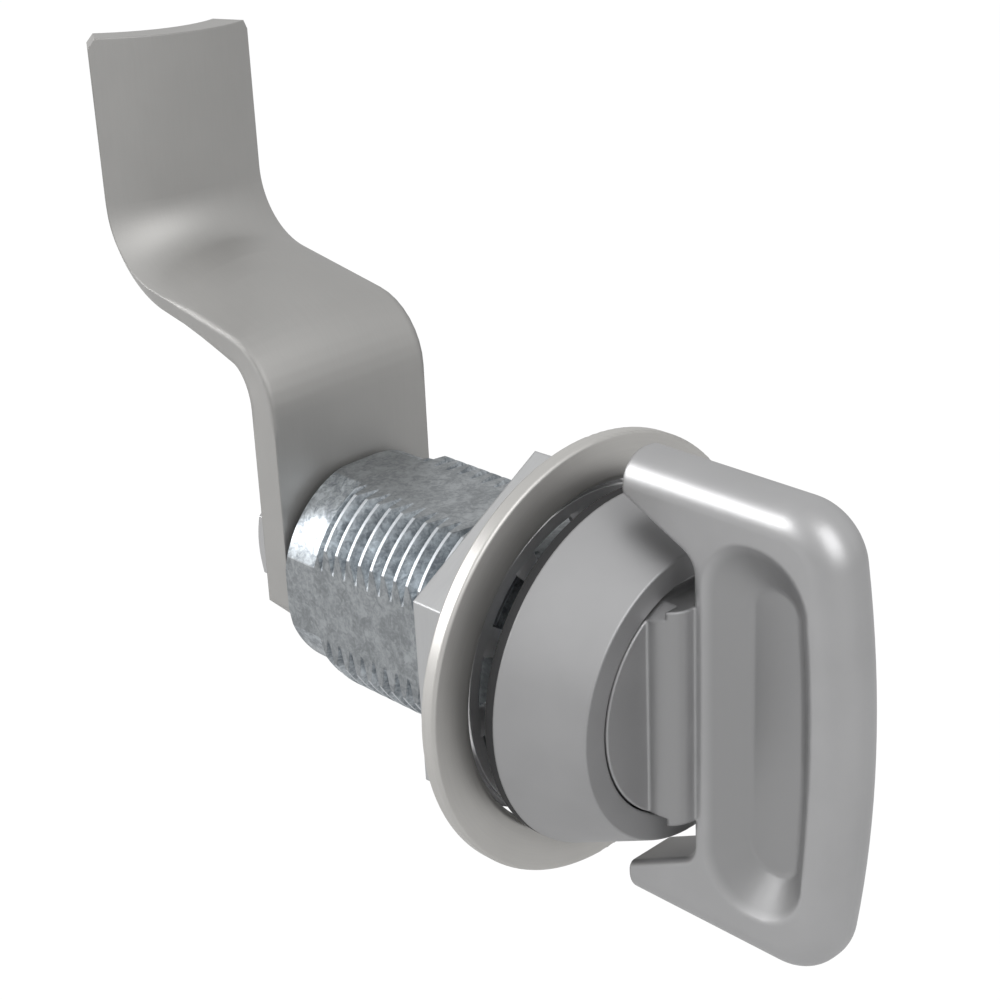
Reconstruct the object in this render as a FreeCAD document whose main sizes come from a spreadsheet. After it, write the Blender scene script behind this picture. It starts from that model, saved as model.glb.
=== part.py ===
import FreeCAD, Part
import math
import os

import Sketcher

# Compression latch for a hinged panel. The latch axis is the Y axis, the grip
# points towards -Y and the pawl upwards along +Z. The origin lies on the axis,
# in the plane where the head sits on its gasket. Lengths are millimetres.

DRIVING_SIZES = [
    # Threaded body.
    ("thread_radius", 11.0),
    ("thread_pitch", 1.5),
    ("thread_depth", 0.92),
    ("flat_depth", 1.5),
    ("body_length", 32.35),
    ("collar_length", 5.05),
    ("collar_step", 0.93),
    ("body_edge_break", 0.4),
    ("flange_overhang", 1.8),
    ("flange_thick", 2.4),
    ("front_wall", 3.1),
    ("rear_wall", 2.9),
    ("step_height", 1.6),
    ("step_thick", 2.2),
    ("track_depth", 0.75),
    # Head, gasket, ring, washer and nut.
    ("head_length", 7.05),
    ("head_face_width", 2.25),
    ("head_taper", 2.95),
    ("head_rim_round", 0.2),
    ("hub_gap", 0.15),
    ("fit_gap", 0.05),
    ("gasket_thick", 0.85),
    ("gasket_bore_gap", 0.25),
    ("panel_space", 2.0),
    ("ring_width", 4.1),
    ("ring_bore_gap", 0.6),
    ("ring_thick", 1.45),
    ("ring_lip_round", 0.55),
    ("ring_rim_round", 0.3),
    ("washer_width", 1.1),
    ("washer_thick", 0.6),
    ("tooth_gap", 0.6),
    ("tooth_reach", 1.7),
    ("tooth_rise", 0.8),
    ("tooth_width", 2.6),
    ("tooth_count", 12),
    ("nut_flats", 28.5),
    ("nut_thick", 5.4),
    ("nut_recess_width", 2.2),
    ("nut_recess_depth", 2.6),
    # Grip and its hub.
    ("grip_thick", 5.57),
    ("grip_half_height", 20.1),
    ("grip_reach", 24.1),
    ("grip_front_radius", 100.0),
    ("grip_corner_radius", 5.2),
    ("grip_edge_round", 2.5),
    ("ear_setback", 2.4),
    ("ear_inner_half", 16.65),
    ("notch_half", 13.3),
    ("notch_reach", 9.35),
    ("notch_round", 2.0),
    ("notch_edge_round", 0.6),
    ("scoop_rim_rear", 10.3),
    ("scoop_rim_front", 20.3),
    ("scoop_rim_half", 11.4),
    ("scoop_corner", 4.8),
    ("scoop_bulge", 0.5),
    ("scoop_rear_inset", 3.6),
    ("scoop_front_inset", 1.7),
    ("scoop_end_inset", 3.8),
    ("scoop_floor_round", 1.0),
    ("scoop_rim_round", 0.5),
    ("scoop_depth", 1.8),
    ("hub_radius", 10.1),
    ("hub_recess", 1.0),
    ("web_setback", 0.6),
    ("web_fillet", 2.6),
    ("ring_groove_width", 1.55),
    ("ring_groove_wall", 0.6),
    ("ring_groove_depth", 1.35),
    ("stem_end", 4.2),
    # Drive train inside the body.
    ("run_gap", 0.1),
    ("bush_flange_thick", 0.8),
    ("bush_flange_width", 1.7),
    ("carrier_room", 2.0),
    ("drum_wall", 1.1),
    ("drum_end_gap", 0.7),
    ("grip_pin_radius", 1.0),
    ("grip_pin_place", 1.0),
    ("clip_thick", 0.8),
    ("clip_height", 1.1),
    ("clip_groove", 0.5),
    ("clip_gap_angle", 60.0),
    ("cinch_stroke", 6.0),
    ("drive_pin_radius", 1.5),
    ("drive_pin_room", 2.4),
    ("drive_pin_end_gap", 0.2),
    ("slot_gap", 0.15),
    ("cam_end_room", 0.3),
    ("step_to_pin", 7.2),
    ("carrier_end_gap", 0.5),
    ("rear_bush_length", 8.5),
    ("rear_bush_wall", 1.7),
    ("rear_lip", 1.15),
    ("rear_clip_height", 1.5),
    # Shaft, pawl and its screw.
    ("nose_to_pin", 6.0),
    ("nose_wall", 1.6),
    ("spring_bore_depth", 3.8),
    ("spring_seat_thick", 0.7),
    ("spring_wire_radius", 0.35),
    ("spring_inset", 0.7),
    ("spring_turns", 5),
    ("tang_half", 4.4),
    ("tang_short", 0.1),
    ("pawl_gap", 0.65),
    ("pawl_thick", 3.0),
    ("pawl_half_width", 8.85),
    ("pawl_low_end", 8.9),
    ("pawl_low_chamfer", 6.4),
    ("pawl_bend_start", 15.9),
    ("pawl_outer_bend", 6.5),
    ("pawl_slope", 9.8),
    ("pawl_slant_run", 11.0),
    ("pawl_second_bend", 7.0),
    ("pawl_top", 46.25),
    ("pawl_top_fall", 1.2),
    ("pawl_crown_radius", 16.5),
    ("pawl_tip_cut", 0.9),
    ("flat_washer_radius", 6.0),
    ("flat_washer_thick", 1.0),
    ("split_washer_radius", 5.1),
    ("split_washer_thick", 1.2),
    ("screw_radius", 2.95),
    ("screw_length", 14.0),
    ("screw_flats", 10.0),
    ("screw_head_thick", 4.0),
]

DOC = FreeCAD.newDocument("compression_latch")
SHEET = DOC.addObject("Spreadsheet::Sheet", "sizes")


class Size:
    """A length with its value and the sheet expression that it is worked out by."""

    def __init__(self, text, number):
        self.text = text
        self.number = float(number)

    def joined(self, other, sign, number):
        return Size("(%s %s %s)" % (self.text, sign, other.text), number)

    def __add__(self, other):
        other = as_size(other)
        return self.joined(other, "+", self.number + other.number)

    def __sub__(self, other):
        other = as_size(other)
        return self.joined(other, "-", self.number - other.number)

    def __mul__(self, other):
        other = as_size(other)
        return self.joined(other, "*", self.number * other.number)

    def __truediv__(self, other):
        other = as_size(other)
        return self.joined(other, "/", self.number / other.number)

    def __neg__(self):
        return Size("(0 - %s)" % self.text, -self.number)


def as_size(value):
    """Turn a plain number into a Size."""
    if isinstance(value, Size):
        return value
    return Size(repr(float(value)), value)


def cosine(angle):
    """Cosine of a Size in degrees."""
    return Size("cos(%s)" % angle.text, math.cos(math.radians(angle.number)))


def sine(angle):
    """Sine of a Size in degrees."""
    return Size("sin(%s)" % angle.text, math.sin(math.radians(angle.number)))


def root(square):
    """Square root of a Size."""
    return Size("sqrt(%s)" % square.text, math.sqrt(square.number))


class Sizes:
    """The driving sizes as attributes, each bound to its cell in the sheet."""


def fill_sheet():
    """Write the driving sizes into the sheet, one row each."""
    sizes = Sizes()
    for row, (alias, number) in enumerate(DRIVING_SIZES, start=1):
        SHEET.set("A%d" % row, alias)
        SHEET.set("B%d" % row, str(number))
        SHEET.setAlias("B%d" % row, alias)
        setattr(sizes, alias, Size("sizes." + alias, number))
    DOC.recompute()
    return sizes


S = fill_sheet()
ZERO = as_size(0)
NODES = []


def bind(item, path, size):
    """Tie a property of an object to the sheet."""
    item.setExpression(path, as_size(size).text)


def keep(item, label):
    """Give a finished sub-part its label and list it for writing."""
    item.Label = label
    NODES.append(item)
    return item


def seat_at(item, along):
    """Place a sub-part with its local origin at a distance along the latch axis."""
    item.Placement = FreeCAD.Placement(FreeCAD.Vector(0, along.number, 0), FreeCAD.Rotation())
    bind(item, ".Placement.Base.y", along)


def new_body(name):
    """Make an empty body."""
    return DOC.addObject("PartDesign::Body", name)


def new_sketch(body, name, role, offset=None):
    """Make a sketch on one of the body's own origin planes."""
    plane = [item for item in body.Origin.OriginFeatures if item.Role == role][0]
    sketch = body.newObject("Sketcher::SketchObject", name)
    sketch.AttachmentSupport = [(plane, "")]
    sketch.MapMode = "FlatFace"
    if offset is not None:
        sketch.AttachmentOffset = FreeCAD.Placement(
            FreeCAD.Vector(0, 0, offset.number), FreeCAD.Rotation())
        bind(sketch, ".AttachmentOffset.Base.z", offset)
    return sketch


def arc_edge(start, end, radius, side):
    """Arc between two points that bulges to their left (1) or right (-1), and its sense."""
    chord = end - start
    half = chord.Length / 2
    reach = math.sqrt(max(radius * radius - half * half, 0))
    normal = FreeCAD.Vector(-chord.y, chord.x, 0)
    normal.normalize()
    centre = (start + end) / 2 - normal * (reach * side)
    forward = side < 0
    first, last = (start, end) if forward else (end, start)
    low = math.atan2(first.y - centre.y, first.x - centre.x)
    high = math.atan2(last.y - centre.y, last.x - centre.x)
    if high < low:
        high += 2 * math.pi
    circle = Part.Circle(centre, FreeCAD.Vector(0, 0, 1), radius)
    return Part.ArcOfCircle(circle, low, high), forward


def draw_outline(sketch, corners):
    """Closed outline through corners of (x, y) or, before an arc, (x, y, radius, side)."""
    corners = [tuple(as_size(value) for value in corner[:3]) + tuple(corner[3:])
               for corner in corners]
    points = [FreeCAD.Vector(corner[0].number, corner[1].number, 0) for corner in corners]
    count = len(corners)
    first = sketch.GeometryCount
    starts = []
    for index, corner in enumerate(corners):
        begin = points[index]
        end = points[(index + 1) % count]
        if len(corner) == 2:
            sketch.addGeometry(Part.LineSegment(begin, end), False)
            starts.append((1, 2))
        else:
            arc, forward = arc_edge(begin, end, corner[2].number, corner[3])
            sketch.addGeometry(arc, False)
            starts.append((1, 2) if forward else (2, 1))
    for index, corner in enumerate(corners):
        following = (index + 1) % count
        geometry = first + index
        sketch.addConstraint(Sketcher.Constraint(
            "Coincident", geometry, starts[index][1], first + following, starts[following][0]))
    for index, corner in enumerate(corners):
        geometry = first + index
        spot = starts[index][0]
        for kind, size in (("DistanceX", corner[0]), ("DistanceY", corner[1])):
            number = sketch.addConstraint(Sketcher.Constraint(
                kind, -1, 1, geometry, spot, size.number))
            bind(sketch, "Constraints[%d]" % number, size)
        chord = points[index].distanceToPoint(points[(index + 1) % count])
        if len(corner) > 2 and corner[2].number > chord * 0.5001:
            number = sketch.addConstraint(Sketcher.Constraint("Radius", geometry, corner[2].number))
            bind(sketch, "Constraints[%d]" % number, corner[2])


def draw_circle(sketch, across, up, radius):
    """Circle about a point of the sketch."""
    centre = FreeCAD.Vector(across.number, up.number, 0)
    index = sketch.addGeometry(
        Part.Circle(centre, FreeCAD.Vector(0, 0, 1), radius.number), False)
    for kind, size in (("DistanceX", across), ("DistanceY", up)):
        number = sketch.addConstraint(Sketcher.Constraint(kind, -1, 1, index, 3, size.number))
        bind(sketch, "Constraints[%d]" % number, size)
    number = sketch.addConstraint(Sketcher.Constraint("Radius", index, radius.number))
    bind(sketch, "Constraints[%d]" % number, radius)


def draw_hexagon(sketch, flats):
    """Regular hexagon about the origin, with two of its flats facing +X and -X."""
    half = flats / 2
    corner = flats / (cosine(as_size(30)) * 2)
    draw_outline(sketch, [
        (half, -(corner / 2)),
        (half, corner / 2),
        (ZERO, corner),
        (-half, corner / 2),
        (-half, -(corner / 2)),
        (ZERO, -corner),
    ])


def revolve(body, name, sketch, kind="PartDesign::Revolution"):
    """Turn a sketch once around the latch axis."""
    turned = body.newObject(kind, name)
    turned.Profile = sketch
    turned.ReferenceAxis = (sketch, ["V_Axis"])
    turned.Angle = 360.0
    return turned


def turned_body(name, corners):
    """Body turned from an outline of (radius, place along the axis) corners."""
    body = new_body(name)
    sketch = new_sketch(body, name + "_profile", "XY_Plane")
    draw_outline(sketch, corners)
    revolve(body, name + "_turning", sketch)
    return body


def tube_body(name, bore, radius, length):
    """Plain tube or washer that starts at its own origin."""
    return turned_body(name, [(bore, ZERO), (radius, ZERO), (radius, length), (bore, length)])


def pocket_through(body, name, sketch):
    """Cut a sketch through the whole body, both ways."""
    pocket = body.newObject("PartDesign::Pocket", name)
    pocket.Profile = sketch
    pocket.Type = "ThroughAll"
    pocket.SideType = "Symmetric"
    return pocket


def pad_midplane(body, name, sketch, length):
    """Pad a sketch by half the length to each side of its plane."""
    pad = body.newObject("PartDesign::Pad", name)
    pad.Profile = sketch
    pad.SideType = "Symmetric"
    bind(pad, "Length", length)
    return pad


def fillet(body, name, base, edges, radius):
    """Round some edges of a feature."""
    rounding = body.newObject("PartDesign::Fillet", name)
    rounding.Base = (base, edges)
    bind(rounding, "Radius", radius)
    return rounding


def chamfer(body, name, base, edges, size):
    """Chamfer some edges of a feature."""
    cut = body.newObject("PartDesign::Chamfer", name)
    cut.Base = (base, edges)
    bind(cut, "Size", size)
    return cut


def edges_where(feature, test):
    """Names of the edges whose end points and middle all pass a test."""
    DOC.recompute()
    names = []
    for number, edge in enumerate(feature.Shape.Edges, start=1):
        middle = edge.valueAt((edge.FirstParameter + edge.LastParameter) / 2)
        spots = [vertex.Point for vertex in edge.Vertexes] + [middle]
        if all(test(spot) for spot in spots):
            names.append("Edge%d" % number)
    return names


def near(value, size):
    """Whether a coordinate lies at a size."""
    return abs(value - size.number) < 1e-4


# Radii that several pieces share, from the thread inwards and outwards.
FLATS_HALF = S.thread_radius - S.flat_depth
COLLAR_RADIUS = S.thread_radius - S.collar_step
FLANGE_RADIUS = S.thread_radius + S.flange_overhang
FRONT_BORE = S.thread_radius - S.front_wall
REAR_BORE = S.thread_radius - S.rear_wall
STEP_BORE = REAR_BORE - S.step_height
TRACK_RADIUS = REAR_BORE + S.track_depth
BUSH_FLANGE_RADIUS = FRONT_BORE + S.bush_flange_width
CARRIER_RADIUS = REAR_BORE - S.run_gap
DRUM_RADIUS = REAR_BORE - S.carrier_room
CARRIER_BORE = DRUM_RADIUS + S.run_gap
STEM_RADIUS = DRUM_RADIUS - S.drum_wall
DRUM_BORE = STEM_RADIUS + S.fit_gap
SHAFT_RADIUS = REAR_BORE - S.rear_bush_wall
SPRING_BORE = STEM_RADIUS - S.nose_wall
SPRING_MEAN = SPRING_BORE - S.spring_inset
PILOT_RADIUS = SPRING_MEAN - S.spring_wire_radius - S.slot_gap
SLOT_RADIUS = S.drive_pin_radius + S.slot_gap
DRIVE_PIN_HALF = TRACK_RADIUS - S.drive_pin_end_gap
HUB_BORE = S.hub_radius + S.hub_gap
HEAD_FRONT_RADIUS = HUB_BORE + S.head_face_width
HEAD_REAR_RADIUS = HEAD_FRONT_RADIUS + S.head_taper
WEB_HALF = S.hub_radius - S.web_setback
WASHER_BORE = S.thread_radius + S.tooth_gap + S.tooth_reach
WASHER_RADIUS = WASHER_BORE + S.washer_width
RING_BORE = WASHER_RADIUS + S.ring_bore_gap
RING_RADIUS = RING_BORE + S.ring_width
NUT_RECESS_RADIUS = S.thread_radius + S.nut_recess_width

# Places along the axis that several pieces share.
HUB_FLOOR = -(S.flange_thick + S.bush_flange_thick)
DRUM_FRONT = HUB_FLOOR - S.run_gap
RING_FRONT = S.gasket_thick + S.panel_space
NUT_FRONT = RING_FRONT + S.ring_thick
REAR_BUSH_END = S.body_length - S.rear_lip
REAR_BUSH_FRONT = REAR_BUSH_END - S.rear_bush_length
CARRIER_END = REAR_BUSH_FRONT - S.carrier_end_gap
DRUM_END = REAR_BUSH_FRONT - S.drum_end_gap
DRIVE_PIN_PLACE = DRUM_END - S.cinch_stroke - S.drive_pin_room
CARRIER_FRONT = DRIVE_PIN_PLACE - S.drive_pin_room
STEP_FRONT = DRIVE_PIN_PLACE - S.step_to_pin
STEP_REAR = STEP_FRONT + S.step_thick
SHAFT_NOSE = DRIVE_PIN_PLACE - S.nose_to_pin
STEM_SEAT_END = S.stem_end + S.spring_seat_thick
SPRING_END = SHAFT_NOSE + S.spring_bore_depth
PAWL_SEAT = S.body_length + S.pawl_gap
PAWL_REAR = PAWL_SEAT + S.pawl_thick
SCREW_SEAT = PAWL_REAR + S.flat_washer_thick + S.split_washer_thick


def cut_circle(body, name, role, across, up, radius):
    """Drill through the whole body, square to one of its planes."""
    sketch = new_sketch(body, name + "_place", role)
    draw_circle(sketch, across, up, radius)
    return pocket_through(body, name, sketch)


def pad_pin(name, role, across, up, radius, half):
    """Straight pin, square to one of the planes, its ends broken by small chamfers."""
    body = new_body(name)
    sketch = new_sketch(body, name + "_section", role)
    draw_circle(sketch, across, up, radius)
    pin = pad_midplane(body, name + "_length", sketch, half * 2)
    ends = edges_where(pin, lambda spot: abs(max(abs(spot.x), abs(spot.z)) - half.number) < 0.5)
    chamfer(body, name + "_ends", pin, ends, radius * 0.2)
    return body


def open_ring(name, bore, radius, thick, opening):
    """Retaining ring or split washer with a gap."""
    body = new_body(name)
    sketch = new_sketch(body, name + "_section", "XY_Plane")
    draw_outline(sketch, [(bore, ZERO), (radius, ZERO), (radius, thick), (bore, thick)])
    ring = revolve(body, name + "_turning", sketch)
    bind(ring, "Angle", as_size(360) - opening)
    return body


def make_threaded_body():
    """Housing tube: front flange, thread with four flats, smooth rear collar, stepped bore."""
    body = new_body("threaded_body")
    sketch = new_sketch(body, "body_profile", "XY_Plane")
    thread_end = S.body_length - S.collar_length
    clip_rear = REAR_BUSH_END + S.clip_thick
    clip_bottom = REAR_BORE + S.clip_groove
    draw_outline(sketch, [
        (FRONT_BORE, -S.flange_thick),
        (FLANGE_RADIUS, -S.flange_thick),
        (FLANGE_RADIUS, ZERO),
        (S.thread_radius, ZERO),
        (S.thread_radius, thread_end),
        (COLLAR_RADIUS, thread_end + (S.thread_radius - COLLAR_RADIUS)),
        (COLLAR_RADIUS, S.body_length - S.body_edge_break),
        (COLLAR_RADIUS - S.body_edge_break, S.body_length),
        (REAR_BORE, S.body_length),
        (REAR_BORE, clip_rear),
        (clip_bottom, clip_rear),
        (clip_bottom, REAR_BUSH_END),
        (REAR_BORE, REAR_BUSH_END),
        (REAR_BORE, STEP_REAR),
        (STEP_BORE, STEP_REAR),
        (STEP_BORE, STEP_FRONT),
        (FRONT_BORE, STEP_FRONT),
    ])
    revolve(body, "body_turning", sketch)
    flats = new_sketch(body, "body_flats", "XZ_Plane")
    inside = FLATS_HALF
    outside = S.thread_radius + 1
    for reach in (outside, inside):
        draw_outline(flats, [(-reach, -reach), (reach, -reach), (reach, reach), (-reach, reach)])
    flat_cut = body.newObject("PartDesign::Pocket", "body_flat_cut")
    flat_cut.Profile = flats
    bind(flat_cut, "Length", S.body_length + 1)
    DOC.recompute()
    groove = new_sketch(body, "thread_section", "XY_Plane")
    centre = S.thread_pitch * 0.6
    deep = S.thread_radius - S.thread_depth
    crest = S.thread_radius + 0.25
    draw_outline(groove, [
        (deep, centre - S.thread_pitch * 0.1),
        (crest, centre - S.thread_pitch * 0.48),
        (crest, centre + S.thread_pitch * 0.48),
        (deep, centre + S.thread_pitch * 0.1),
    ])
    thread = body.newObject("PartDesign::SubtractiveHelix", "body_thread")
    thread.Profile = groove
    thread.ReferenceAxis = (groove, ["V_Axis"])
    thread.Mode = "pitch-height-angle"
    bind(thread, "Pitch", S.thread_pitch)
    bind(thread, "Height", thread_end)
    thread.Angle = 0
    DOC.recompute()
    # Two pockets in the bore wall let the drive pin swing a quarter turn and slide.
    clearance = 2 * math.degrees(math.asin(SLOT_RADIUS.number / REAR_BORE.number))
    sweep = 90 + clearance
    for number, start in enumerate((0, 180), start=1):
        track = body.newObject("PartDesign::SubtractiveCylinder", "pin_track_%d" % number)
        bind(track, "Radius", TRACK_RADIUS)
        bind(track, "Height", S.cinch_stroke + SLOT_RADIUS * 2)
        track.Angle = sweep
        turn = FreeCAD.Rotation(FreeCAD.Vector(0, 1, 0), start - sweep / 2 - 45)
        lay = FreeCAD.Rotation(FreeCAD.Vector(1, 0, 0), -90)
        place = FreeCAD.Vector(0, (DRIVE_PIN_PLACE - SLOT_RADIUS).number, 0)
        track.Placement = FreeCAD.Placement(place, turn.multiply(lay))
        DOC.recompute()
    return keep(body, "threaded_body")


def make_head_bezel():
    """Round tapered head around the grip's hub."""
    seat = FLANGE_RADIUS + S.fit_gap
    body = turned_body("head_bezel", [
        (HUB_BORE, -S.head_length),
        (HEAD_FRONT_RADIUS, -S.head_length),
        (HEAD_REAR_RADIUS, ZERO),
        (seat, ZERO),
        (seat, -S.flange_thick),
        (HUB_BORE, -S.flange_thick),
    ])
    turning = body.Tip
    rims = edges_where(turning, lambda spot: near(spot.y, -S.head_length))
    fillet(body, "head_rims", turning, rims, S.head_rim_round)
    return keep(body, "head_bezel")


def make_gasket():
    """Flat rubber washer under the head."""
    body = tube_body("gasket", S.thread_radius + S.gasket_bore_gap, HEAD_REAR_RADIUS,
                     S.gasket_thick)
    seat_at(body, ZERO)
    return keep(body, "gasket")


def make_flange_ring():
    """Broad pressed ring behind the panel, rounded into its bore."""
    body = tube_body("flange_ring", RING_BORE, RING_RADIUS, S.ring_thick)
    turning = body.Tip
    lip = edges_where(turning, lambda spot: near(spot.y, ZERO)
                      and math.hypot(spot.x, spot.z) < RING_BORE.number + 0.1)
    rounded = fillet(body, "ring_lip", turning, lip, S.ring_lip_round)
    rim = edges_where(rounded, lambda spot: math.hypot(spot.x, spot.z)
                      > RING_RADIUS.number - 0.1)
    circles = [name for name in rim if rounded.Shape.getElement(name).Closed]
    fillet(body, "ring_rim", rounded, circles, S.ring_rim_round)
    seat_at(body, RING_FRONT)
    return keep(body, "flange_ring")


def make_toothed_washer():
    """Lock washer with twisted teeth on its inner edge."""
    body = tube_body("toothed_washer", WASHER_BORE, WASHER_RADIUS, S.washer_thick)
    root_place = WASHER_BORE + 0.3
    tip_place = WASHER_BORE - S.tooth_reach
    wide = S.tooth_width / 2
    slim = S.washer_thick * 0.1
    back = S.washer_thick - slim
    base = new_sketch(body, "tooth_root", "YZ_Plane", root_place)
    draw_outline(base, [(slim, -wide), (back, -wide), (back, wide), (slim, wide)])
    tip = new_sketch(body, "tooth_tip", "YZ_Plane", tip_place)
    narrow = wide * 0.75
    raised = -S.tooth_rise
    draw_outline(tip, [
        (S.washer_thick * 0.3, -narrow),
        (S.washer_thick, -narrow),
        (raised + S.washer_thick * 0.7, narrow),
        (raised, narrow),
    ])
    tooth = body.newObject("PartDesign::AdditiveLoft", "tooth")
    tooth.Profile = base
    tooth.Sections = [(tip, [""])]
    tooth.Ruled = True
    DOC.recompute()
    axis = [item for item in body.Origin.OriginFeatures if item.Role == "Y_Axis"][0]
    teeth = body.newObject("PartDesign::PolarPattern", "teeth")
    teeth.Originals = [tooth]
    teeth.Axis = (axis, [""])
    teeth.Angle = 360.0
    bind(teeth, "Occurrences", S.tooth_count)
    body.Tip = teeth
    place = NUT_FRONT - S.washer_thick
    turned = FreeCAD.Rotation(FreeCAD.Vector(0, -1, 0), 5)
    body.Placement = FreeCAD.Placement(FreeCAD.Vector(0, place.number, 0), turned)
    bind(body, ".Placement.Base.y", place)
    return keep(body, "toothed_washer")


def make_mounting_nut():
    """Large thin hexagon nut with a recess in its front face."""
    body = new_body("mounting_nut")
    outline = new_sketch(body, "nut_outline", "XZ_Plane")
    draw_hexagon(outline, S.nut_flats)
    blank = body.newObject("PartDesign::Pad", "nut_blank")
    blank.Profile = outline
    blank.Reversed = True
    bind(blank, "Length", S.nut_thick)
    cut_circle(body, "nut_bore", "XZ_Plane", ZERO, ZERO, S.thread_radius + S.fit_gap)
    mouth = new_sketch(body, "nut_mouth", "XZ_Plane")
    draw_circle(mouth, ZERO, ZERO, NUT_RECESS_RADIUS)
    recess = body.newObject("PartDesign::Pocket", "nut_recess")
    recess.Profile = mouth
    bind(recess, "Length", S.nut_recess_depth)
    turned = FreeCAD.Rotation(FreeCAD.Vector(0, 1, 0), -0.6)
    body.Placement = FreeCAD.Placement(FreeCAD.Vector(0, NUT_FRONT.number, 0), turned)
    bind(body, ".Placement.Base.y", NUT_FRONT)
    return keep(body, "mounting_nut")


def make_front_bush():
    """Flanged plain bearing for the cam sleeve."""
    bore = DRUM_RADIUS + S.run_gap
    sleeve = FRONT_BORE - S.fit_gap
    body = turned_body("front_bush", [
        (bore, HUB_FLOOR),
        (BUSH_FLANGE_RADIUS, HUB_FLOOR),
        (BUSH_FLANGE_RADIUS, -S.flange_thick),
        (sleeve, -S.flange_thick),
        (sleeve, STEP_FRONT),
        (bore, STEP_FRONT),
    ])
    return keep(body, "front_bush")


def make_rear_bush():
    """Plain bearing for the pawl shaft."""
    body = tube_body("rear_bush", SHAFT_RADIUS + S.run_gap, REAR_BORE - S.fit_gap,
                     REAR_BUSH_END - REAR_BUSH_FRONT)
    seat_at(body, REAR_BUSH_FRONT)
    return keep(body, "rear_bush")


def make_rear_retaining_ring():
    """Internal retaining ring behind the rear bush."""
    body = open_ring("rear_retaining_ring", REAR_BORE - S.rear_clip_height,
                     REAR_BORE + S.clip_groove - S.fit_gap,
                     S.clip_thick - S.fit_gap, S.clip_gap_angle)
    seat_at(body, REAR_BUSH_END)
    return keep(body, "rear_retaining_ring")


def make_swing_sleeve():
    """Guide tube whose two straight slots turn the drive pin and let it slide."""
    body = tube_body("swing_sleeve", CARRIER_BORE, CARRIER_RADIUS,
                     CARRIER_END - CARRIER_FRONT)
    slot = new_sketch(body, "pin_slot", "YZ_Plane")
    low = DRIVE_PIN_PLACE - CARRIER_FRONT
    high = low + S.cinch_stroke
    draw_outline(slot, [
        (low, -SLOT_RADIUS),
        (high, -SLOT_RADIUS, SLOT_RADIUS, -1),
        (high, SLOT_RADIUS),
        (low, SLOT_RADIUS, SLOT_RADIUS, -1),
    ])
    pocket_through(body, "pin_slots", slot)
    seat_at(body, CARRIER_FRONT)
    return keep(body, "swing_sleeve")


def make_cam_sleeve():
    """Tube pinned to the grip, with two steep helical slots for the drive pin."""
    clip_front = STEP_REAR + S.run_gap
    clip_rear = clip_front + S.clip_thick
    clip_bottom = DRUM_RADIUS - S.clip_groove
    body = turned_body("cam_sleeve", [
        (DRUM_BORE, DRUM_FRONT),
        (DRUM_RADIUS, DRUM_FRONT),
        (DRUM_RADIUS, clip_front),
        (clip_bottom, clip_front),
        (clip_bottom, clip_rear),
        (DRUM_RADIUS, clip_rear),
        (DRUM_RADIUS, DRUM_END),
        (DRUM_BORE, DRUM_END),
    ])
    cut_circle(body, "grip_pin_hole", "XY_Plane", ZERO, S.grip_pin_place, S.grip_pin_radius)
    DOC.recompute()
    axis = [item for item in body.Origin.OriginFeatures if item.Role == "Y_Axis"][0]
    groove = new_sketch(body, "cam_section", "XY_Plane")
    wide = SLOT_RADIUS * 1.28
    inner = DRUM_BORE - 0.8
    outer = DRUM_RADIUS + 0.8
    draw_outline(groove, [
        (inner, DRIVE_PIN_PLACE - wide),
        (outer, DRIVE_PIN_PLACE - wide),
        (outer, DRIVE_PIN_PLACE + wide),
        (inner, DRIVE_PIN_PLACE + wide),
    ])
    cam = body.newObject("PartDesign::SubtractiveHelix", "cam_slot")
    cam.Profile = groove
    cam.ReferenceAxis = (groove, ["V_Axis"])
    cam.Mode = "height-turns-angle"
    bind(cam, "Height", S.cinch_stroke)
    cam.Turns = 0.25
    cam.Angle = 0
    DOC.recompute()
    both = body.newObject("PartDesign::PolarPattern", "cam_slots")
    both.Originals = [cam]
    both.Axis = (axis, [""])
    both.Angle = 360.0
    both.Occurrences = 2
    body.Tip = both
    DOC.recompute()
    end_radius = SLOT_RADIUS + S.cam_end_room
    cut_circle(body, "cam_slot_start", "YZ_Plane", DRIVE_PIN_PLACE, ZERO, end_radius)
    cut_circle(body, "cam_slot_end", "XY_Plane", ZERO, DRIVE_PIN_PLACE + S.cinch_stroke,
               end_radius)
    return keep(body, "cam_sleeve")


def make_sleeve_retaining_ring():
    """External retaining ring that holds the cam sleeve behind the body's step."""
    body = open_ring("sleeve_retaining_ring", DRUM_RADIUS - S.clip_groove + S.fit_gap,
                     DRUM_RADIUS + S.clip_height, S.clip_thick - S.fit_gap, S.clip_gap_angle)
    seat_at(body, STEP_REAR + S.run_gap)
    return keep(body, "sleeve_retaining_ring")


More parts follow.
